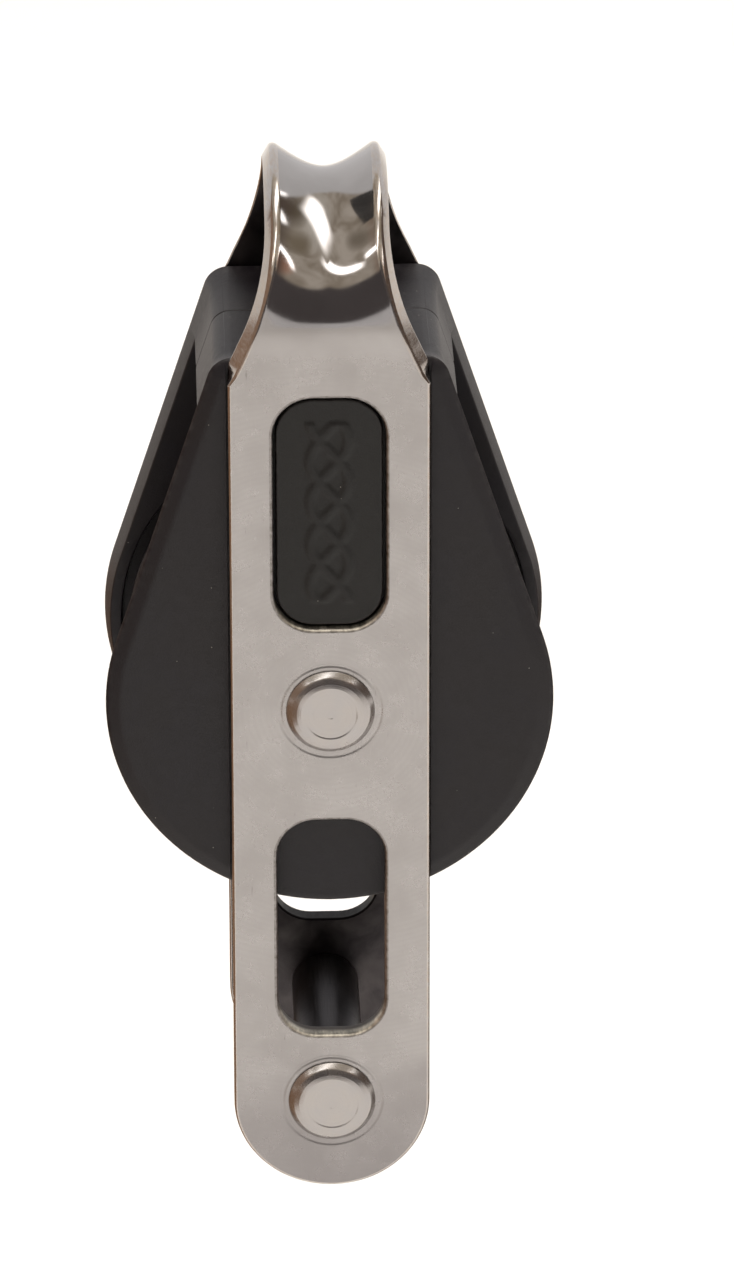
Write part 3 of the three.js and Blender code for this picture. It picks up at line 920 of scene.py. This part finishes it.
def strap_face():
    """Tumbled and buffed stainless steel on the legs, polished round the head."""
    p = Paint("strap satin steel", metallic=1.0)
    polish = p.attribute("polish")
    satin = p.math("SUBTRACT", 1.0, polish)
    cloud = p.noise(0.16, 3)
    smudge = p.noise(0.55, 4, distortion=0.6)
    upright = p.lines(9, 1, 0.55)
    slanted = p.lines(7, 1, 0.8, 62)
    crossing = p.lines(8, 1, 0.9, -48)
    ripple = {"Vector": p.place, "Scale": 0.55, "Distortion": 5.0, "Detail": 2.0, "Detail Scale": 0.35}
    rings = p.node("TexWave", ripple, wave_type="RINGS", rings_direction="Y").outputs["Fac"]
    nicks = p.span(p.lines(3.2, 1, 0.42, detail=2, roughness=0.5), 0.70, 0.76)
    nicks = p.times(nicks, p.span(p.noise(0.22, 2), 0.52, 0.62))
    grain = p.noise(7.0, 2)
    height = p.math("MULTIPLY_ADD", cloud, 8.0, p.part(p.place, 2))
    # Painted shade: the steel gets darker towards the foot, fading out above the becket rivet, with a cloudy
    # edge.
    foot_shade = p.span(height, BECKET_Z - 6, BECKET_Z + 12, 0.75, 0)
    lines = p.plus(p.span(upright, 0.62, 0.72), p.span(slanted, 0.64, 0.74), p.span(crossing, 0.66, 0.76))
    tone = p.mix(p.span(cloud, 0.35, 0.68), STEEL_DARK, STEEL)
    tone = p.mix(p.times(p.span(lines, 0, 2, 0, 0.40), satin), tone, STEEL_LIGHT)
    tone = p.mix(p.times(p.span(rings, 0.3, 0.8, 0, 0.22), satin), tone, STEEL_DARK)
    tone = p.mix(p.times(nicks, 0.55, satin), tone, STEEL_DULL_AND_SHADE)
    tone = p.mix(foot_shade, tone, STEEL_FOOT_SHADE)
    rough = p.plus(p.span(smudge, 0.3, 0.75, 0.25, 0.36), p.span(grain, 0.3, 0.7, -0.02, 0.02))
    shine = p.span(smudge, 0.35, 0.75, 0.07, 0.12)
    rough = p.node("Mix", {"Factor": polish, "A": rough, "B": shine}).outputs[0]
    combed = p.times(p.plus(upright, slanted, crossing), 0.33)
    relief = p.bump(p.times(combed, p.span(polish, 0, 1, 1, 0.04)), 0.014)
    relief = p.bump(p.times(grain, p.span(polish, 0, 1, 1, 0.05)), 0.003, relief)
    relief = p.bump(p.times(p.noise(0.22, 0), polish), 0.07, relief)
    return p.finish(base_color=tone, roughness=rough, normal=relief)


def strap_edge():
    """Cut edges of the bar, with faint marks across the thickness."""
    p = Paint("strap cut edge", metallic=1.0)
    marks = p.lines(3.5, 0.7, 3.5)
    cloud = p.noise(0.3, 3)
    tone = p.mix(p.span(marks, 0.35, 0.7), STEEL_WARM, STEEL_LIGHT)
    tone = p.mix(p.span(cloud, 0.4, 0.75, 0, 0.5), tone, STEEL_DARK)
    rough = p.span(marks, 0.3, 0.7, 0.12, 0.18)
    return p.finish(base_color=tone, roughness=rough, normal=p.bump(marks, 0.003))


def strap_rim():
    """Punched edges of the windows: a painted highlight streaked with marks where they face up, and painted
    shade where they face down, further in and at the rear.
    """
    p = Paint("strap window rim", metallic=1.0)
    deep_shade = p.span(p.attribute("depth"), WINDOW_EDGE * 2.0, WINDOW_EDGE * 3.6)
    rear = p.span(p.part(p.place, 1), -1, 1)
    marks = p.lines(1.6, 0.5, 1.6)
    facing_up = p.span(p.part(p.node("NewGeometry").outputs["Normal"], 2), 0.1, 0.6)
    # Painted highlight and shade: the rim is bright and streaked where it faces up and darker where it faces
    # down.
    tone = p.mix(p.span(marks, 0.35, 0.65), RIM_PAINTED_LIT, RIM_PAINTED_GLINT)
    tone = p.mix(facing_up, p.mix(p.span(marks, 0.3, 0.7), RIM_PAINTED_SHADE, STEEL_DARK), tone)
    # Painted shade: darker further into the window, and almost black on the rear leg's rims.
    tone = p.mix(deep_shade, tone, STEEL_DULL_AND_SHADE)
    tone = p.mix(rear, tone, STEEL_SHADE)
    rough = p.plus(p.span(marks, 0.3, 0.7, 0.30, 0.44), p.times(facing_up, 0.12))
    return p.finish(base_color=tone, roughness=rough, normal=p.bump(p.times(marks, facing_up), 0.02))


def strap_inside():
    """Inner faces of the bar, dull, with colour painted dark as shade between the legs and clouded a little.
    """
    p = Paint("strap inner face", metallic=1.0)
    cloud = p.noise(0.3, 4, distortion=0.5)
    lines = p.lines(6, 1, 0.4)
    # Painted shade: the inner faces are clouded between two very dark tones.
    tone = p.mix(p.span(cloud, 0.35, 0.7), INSIDE_SHADE_DARK, INSIDE_SHADE_LIGHT)
    rough = p.plus(p.span(cloud, 0.3, 0.75, 0.30, 0.42), p.span(lines, 0.35, 0.7, -0.03, 0.05))
    return p.finish(base_color=tone, roughness=rough, normal=p.bump(lines, 0.004))


def rivet_steel():
    """Spun rivet heads: bright, with turning rings and a few small pits."""
    p = Paint("rivet steel", metallic=1.0)
    place = p.node("TexCoord").outputs["Generated"]
    centred = p.vector("SUBTRACT", place, (0.5, 0.5, 0.5))
    flat = p.vector("MULTIPLY", centred, (2 * RIVET_HEAD, 0, 2 * RIVET_HEAD))
    radius = p.vector("LENGTH", flat, output="Value")
    wobble = p.times(p.math("MULTIPLY_ADD", p.noise(0.5, 2), 0.10, radius), 5.0)
    rings = p.noise(1.0, 3, p.node("CombineXYZ", {0: wobble}).outputs[0], 0.6)
    cloud = p.noise(0.5, 3, distortion=0.4)
    pits = p.span(p.noise(3.2, 2), 0.72, 0.78)
    core = p.span(radius, 0.25, 0.9, 1, 0)
    tone = p.mix(p.span(cloud, 0.35, 0.7), STEEL, RIVET_LIGHT)
    tone = p.mix(p.span(rings, 0.35, 0.65, 0, 0.35), tone, STEEL_DARK)
    tone = p.mix(p.times(pits, 0.4), tone, STEEL_DULL_AND_SHADE)
    dome = p.span(radius, RIVET_FLAT - 0.1, RIVET_FLAT + 0.5)
    rough = p.plus(p.span(cloud, 0.3, 0.75, 0.15, 0.22), p.times(dome, 0.07))
    relief = p.bump(rings, 0.010)
    relief = p.bump(p.times(p.noise(1.8, 3, distortion=1.0), core), 0.03, relief)
    return p.finish(base_color=tone, roughness=rough, normal=relief)


def tube_steel():
    """Dull drawn tube, with fine lines along its length and a turned ring or two."""
    p = Paint("tube steel", metallic=1.0)
    lines = p.lines(6, 0.25, 6)
    bands = p.lines(0.05, 5, 0.05, detail=2)
    tone = p.mix(p.span(lines, 0.3, 0.7), TUBE_DARK, TUBE_LIGHT)
    rough = p.plus(p.span(lines, 0.3, 0.7, 0.34, 0.46), p.span(bands, 0.4, 0.7, -0.03, 0.05))
    return p.finish(base_color=tone, roughness=rough, normal=p.bump(p.plus(lines, bands), 0.006))


PLASTIC = (0.0046, 0.0030, 0.0062)
PLASTIC_WARM = (0.0056, 0.0034, 0.0050)
PLASTIC_PAD = (0.0030, 0.0024, 0.0018)
PLASTIC_MOTTLE = (0.0105, 0.0092, 0.0102)
PLASTIC_WORN = (0.036, 0.032, 0.033)
DUST = (0.30, 0.28, 0.25)
TURNED_MOTTLE = (0.0105, 0.0098, 0.0108)
TURNED_WORN = (0.030, 0.028, 0.029)
BALL_LIGHT, BALL_DARK, BALL_TRACK = (0.82, 0.80, 0.74), (0.72, 0.69, 0.62), (0.42, 0.40, 0.36)


def cheek_plastic():
    """Matt black moulded plastic: spark-eroded grain, rubbed edges, and a little dust."""
    p = Paint("cheek plastic", ior=1.49, specular_ior_level=0.43)
    cloud = p.noise(0.12, 3)
    mottle = p.noise(1.1, 4)
    grain = p.noise(5.5, 3, roughness=0.65)
    pebble = p.node("TexVoronoi", {"Vector": p.place, "Scale": 5.0}).outputs["Distance"]
    speck = p.node("TexVoronoi", {"Vector": p.place, "Scale": 0.85})
    rare = p.node("SeparateColor", {0: speck.outputs["Color"]}).outputs[0]
    dust = p.span(speck.outputs["Distance"], 0.035, 0.06, 0.7, 0)
    dust = p.times(dust, p.span(rare, 0.86, 0.9))
    rubbed = p.times(p.attribute("edge"), p.span(mottle, 0.35, 0.7))
    tone = p.mix(p.span(cloud, 0.35, 0.65), PLASTIC, PLASTIC_WARM)
    tone = p.mix(p.attribute("pad"), tone, PLASTIC_PAD)
    tone = p.mix(p.span(mottle, 0.45, 0.75, 0, 0.35), tone, PLASTIC_MOTTLE)
    tone = p.mix(p.times(rubbed, 0.55), tone, PLASTIC_WORN)
    tone = p.mix(dust, tone, DUST)
    rough = p.plus(p.span(mottle, 0.3, 0.75, 0.44, 0.54), p.span(grain, 0.3, 0.7, -0.03, 0.03),
                   p.times(rubbed, -0.10))
    relief = p.bump(grain, 0.020)
    relief = p.bump(pebble, 0.006, relief)
    return p.finish(base_color=tone, roughness=rough, normal=relief)


def smooth_plastic(name, wear_low, wear_high):
    """Smooth black acetal, turned marks round its axis, and a band that rope or balls have burnished."""
    p = Paint(name, ior=1.48)
    radius = p.vector("LENGTH", p.vector("MULTIPLY", p.place, (1, 0, 1)), output="Value")
    profile = {0: p.times(radius, 6.0), 1: p.times(p.part(p.place, 1), 6.0)}
    lines = p.noise(1.0, 3, p.node("CombineXYZ", profile).outputs[0], 0.6)
    mottle = p.noise(0.5, 4, distortion=0.4)
    worn = p.span(radius, wear_low, wear_high, 1, 0)
    worn = p.times(worn, p.span(mottle, 0.3, 0.65, 0.4, 1.0))
    tone = p.mix(p.span(mottle, 0.35, 0.7), PLASTIC, TURNED_MOTTLE)
    tone = p.mix(p.times(worn, 0.6), tone, TURNED_WORN)
    rough = p.plus(p.span(mottle, 0.3, 0.7, 0.28, 0.38), p.span(lines, 0.3, 0.7, -0.04, 0.06),
                   p.times(worn, -0.06))
    return p.finish(base_color=tone, roughness=rough, normal=p.bump(lines, 0.010))


def ball_plastic():
    """Off-white bearing balls with a faint running track."""
    p = Paint("ball plastic", ior=1.5, subsurface_weight=0.08, subsurface_scale=0.0008)
    mottle = p.noise(0.9, 4)
    track = p.span(p.noise(2.4, 3, distortion=1.2), 0.55, 0.7)
    tone = p.mix(p.span(mottle, 0.3, 0.7), BALL_DARK, BALL_LIGHT)
    tone = p.mix(p.times(track, 0.25), tone, BALL_TRACK)
    return p.finish(base_color=tone, roughness=p.span(track, 0, 1, 0.2, 0.38), normal=p.bump(mottle, 0.004))


def dress(objects, *materials):
    for obj in objects:
        for material in materials:
            obj.data.materials.append(material)


def pad_at(x, y, z):
    """1 on the pad in the upper window and 0 elsewhere."""
    return 1.0 if pad_edge(x, z) > 0 and abs(y) > CHANNEL_FLOOR else 0.0


def edge_at(x, y, z):
    """1 on a cheek's exposed edges and 0 away from them."""
    rim = 1 - smoothstep(edge_distance(x, z), 0.1, 0.55)
    pad = 1 - smoothstep(abs(pad_edge(x, z) - 0.1), 0.05, 0.25) if abs(y) > CHANNEL_FLOOR + 0.02 else 0
    seam = 1 - smoothstep(abs(y - PARTING_Y), 0.1, 0.4) if edge_distance(x, z) < RIM_DRAFT + 0.3 else 0
    return max(rim if abs(y) > CHEEK_INNER + 2 else 0, pad, seam)


mark(strap, "polish", lambda x, y, z: smoothstep(z, POLISH_LOW, POLISH_HIGH))
mark(strap, "depth", lambda x, y, z: STRAP_OUTER - abs(y))
for cheek in cheeks:
    mark(cheek, "edge", edge_at)
    mark(cheek, "pad", pad_at)
dress([strap], strap_face(), strap_edge(), strap_inside(), strap_rim())
dress(cheeks, cheek_plastic())
dress(rivets, rivet_steel())
dress(tubes, tube_steel())
dress(races, smooth_plastic("race plastic", RACE_INNER_LIP, RACE_OUTER_LIP + 0.3))
dress([sheave], smooth_plastic("sheave plastic", GROOVE_BOTTOM + 0.3, GROOVE_BOTTOM + 2.5))
dress(balls, ball_plastic())

# ---- studio

CEILING_Z = 1.0
FLOOR_Z = -0.2
FLOOR_HALF = 4.0
FLOOR_LIGHT, FLOOR_DARK = (0.91, 0.905, 0.90), (0.88, 0.875, 0.87)
BOX_COLOUR = (1.0, 0.98, 0.955)
BOX_FADE = 0.3
SUN_FILL = 1.35
SUN_WIDTH = 70 * DEG

# Softboxes: place on the ceiling, length, width, turn in degrees and brightness.
SOFTBOXES = (
    (0.40, 0.23, 1.60, 0.56, 44, 4),
    (-0.335, -0.757, 1.42, 0.24, 34, 5),
    (-1.18, -0.91, 0.62, 0.24, 2, 5),
    (1.14, -0.95, 0.98, 0.24, 51, 5),
    (1.36, 0.25, 0.55, 0.15, 68, 4),
    (1.36, 0.98, 0.22, 0.18, 0, 4),
)

# Cards: name, height, colour, and corners in units of the height.
CARDS = (
    ("left card", FLOOR_Z + 0.002, (0.36, 0.22, 0.14),
     [(-0.12, 3), (-0.12, 0.2), (-0.95, -0.6), (-0.95, -2.1), (-9, -12), (-9, 3)]),
    ("right card", FLOOR_Z + 0.002, (0.14, 0.10, 0.08),
     [(0.12, 3), (0.12, 0), (0.9, -0.2), (4, -0.9), (4, 3)]),
    ("ceiling panel", CEILING_Z + 0.05, (0.09, 0.085, 0.08),
     [(-0.89, 0.68), (-1.27, 1.03), (-1.32, 0.10), (-1.08, 0.03)]),
)

# Sky colours, and soft patches on it: place on the ceiling, reach in degrees and colour.
SKY_LIGHT, SKY_DARK = (0.74, 0.66, 0.56), (0.44, 0.37, 0.29)
BROWN_LEFT, BROWN_RIGHT = (0.38, 0.26, 0.19), (0.15, 0.11, 0.09)
FRONT_WALL = (0.115, 0.100, 0.098)
FRONT_SWEEP = (0.86, 0.83, 0.82)
REAR_SCREEN = (0.86, 0.84, 0.83)
PATCHES = (
    (0.40, 0.23, 34, (0.86, 0.80, 0.70)),
    (0.95, -0.30, 15, (0.34, 0.28, 0.20)),
    (1.36, 0.55, 18, (0.20, 0.16, 0.11)),
    (-0.95, -0.30, 13, (0.32, 0.27, 0.21)),
    (1.60, -1.70, 13, (0.74, 0.38, 0.25)),
)


def make_floor():
    mesh = bpy.data.meshes.new("floor")
    corners = [(-1, -1), (1, -1), (1, 1), (-1, 1)]
    mesh.from_pydata([(x * FLOOR_HALF, y * FLOOR_HALF, FLOOR_Z) for x, y in corners], [], [(0, 1, 2, 3)])
    floor = new_object("floor", mesh)
    p = Paint("floor paper", roughness=0.9, specular_ior_level=0.2)
    shade = p.mix(p.span(p.noise(0.004, 3), 0.3, 0.7), FLOOR_DARK, FLOOR_LIGHT)
    floor.data.materials.append(p.finish(base_color=shade))


def softbox(x, y, long, wide, turn, glow):
    """A soft light overhead that fades towards its edges. glow is its brightness to the eye."""
    light = bpy.data.lights.new("softbox", "AREA")
    light.shape = "RECTANGLE"
    light.size, light.size_y = long, wide
    light.energy = glow * math.pi * long * wide
    light.color = BOX_COLOUR
    light.use_nodes = True
    nodes = Nodes(light.node_tree)
    spot = nodes.node("NewGeometry").outputs["Parametric"]
    inwards = [nodes.math("PINGPONG", nodes.part(spot, axis), 0.5) for axis in (0, 1)]
    fades = [nodes.span(distance, 0, BOX_FADE, shape="SMOOTHSTEP") for distance in inwards]
    nodes.feed(light.node_tree.nodes["Emission"].inputs["Strength"], nodes.times(*fades))
    lamp = new_object("softbox", light)
    lamp.location = (x, y, CEILING_Z)
    lamp.rotation_euler = (0, 0, turn * DEG)


def make_lights():
    for box in SOFTBOXES:
        softbox(*box)
    fill = bpy.data.lights.new("fill", "SUN")
    fill.energy = SUN_FILL
    fill.angle = SUN_WIDTH
    new_object("fill", fill).visible_glossy = False


def card(name, height, colour, corners):
    """A plain board near the object that shows only in reflections."""
    mesh = bpy.data.meshes.new(name)
    size = abs(height)
    mesh.from_pydata([(x * size, y * size, height) for x, y in corners], [], [tuple(range(len(corners)))])
    board = new_object(name, mesh)
    p = Paint(name, base_color=(0, 0, 0), roughness=1.0, specular_ior_level=0.0, emission_strength=1.0)
    dark, light = [0.8 * c for c in colour], [1.2 * c for c in colour]
    shade = p.mix(p.span(p.noise(0.004, 3), 0.35, 0.65), dark, light)
    board.data.materials.append(p.finish(emission_color=shade))
    board.visible_camera = False
    board.visible_diffuse = False
    board.visible_shadow = False


def make_world():
    """A pale studio: tan above, a light screen behind, a dark wall in front, and brown to either side."""
    world = bpy.data.worlds.new("studio")
    bpy.context.scene.world = world
    world.use_nodes = True
    world.node_tree.nodes.clear()
    w = Nodes(world.node_tree)
    way = w.vector("NORMALIZE", w.node("TexCoord").outputs["Generated"])

    def along(x, y, z):
        return w.vector("DOT_PRODUCT", way, (x, y, z), "Value")

    def side(x, y, z, soft):
        """1 on one side of a plane through the object and 0 on the other."""
        return w.span(along(x, y, z), -soft, soft)

    def wedge(x, y, z, soft):
        """1 between such a plane and its mirror image from left to right."""
        return w.times(side(x, y, z, soft), side(-x, y, z, soft))

    streaks = w.node("TexNoise", {"Vector": way, "Scale": 3.2, "Detail": 4, "Distortion": 1.2})
    sky = w.mix(w.span(streaks.outputs[0], 0.36, 0.64), SKY_DARK, SKY_LIGHT)
    for x, y, reach, colour in PATCHES:
        near = along(*Vector((x, y, CEILING_Z)).normalized())
        sky = w.mix(w.span(near, math.cos(reach * DEG), math.cos(reach * DEG / 4)), sky, colour)
    sky = w.mix(side(-1, 0, -1.3, 0.1), sky, BROWN_LEFT)
    sky = w.mix(side(1, 0, -1.3, 0.1), sky, BROWN_RIGHT)
    sky = w.mix(wedge(0.9, -1, -1.19, 0.05), sky, FRONT_WALL)
    sky = w.mix(w.times(wedge(0.7, -0.033, -1, 0.006), side(0, -1, 0, 0.05)), sky, FRONT_SWEEP)
    screen = w.times(wedge(0.2, 1, -0.73, 0.03), wedge(0.7, 1, 0, 0.04))
    sky = w.mix(screen, sky, REAR_SCREEN)
    seen = w.node("LightPath").outputs["Is Camera Ray"]
    back = w.node("Background", {"Color": w.mix(seen, sky, (1.0, 1.0, 1.0)), "Strength": 1.0})
    w.node("OutputWorld", {0: back.outputs[0]})


# Camera: in front of the block, and looking down on it.
AZIMUTH, ELEVATION, ROLL = -1.785 * DEG, 25.749 * DEG, -0.118 * DEG
AIM = Vector((0.004113, 0, 0.001565))
DISTANCE = 0.85136
LENS = 236.84


def make_camera():
    level = math.cos(ELEVATION)
    back = Vector((math.sin(AZIMUTH) * level, -math.cos(AZIMUTH) * level, math.sin(ELEVATION)))
    across = Vector((math.cos(AZIMUTH), math.sin(AZIMUTH), 0))
    turn = Matrix((across, back.cross(across), back)).transposed() @ Matrix.Rotation(ROLL, 3, "Z")
    data = bpy.data.cameras.new("camera")
    data.lens = LENS
    data.sensor_width = 36
    data.clip_start, data.clip_end = 0.05, 20
    camera = new_object("camera", data)
    camera.matrix_world = Matrix.Translation(AIM + back * DISTANCE) @ turn.to_4x4()
    bpy.context.scene.camera = camera


make_floor()
make_lights()
for board in CARDS:
    card(*board)
make_world()
make_camera()
bpy.context.scene.view_settings.view_transform = "Standard"
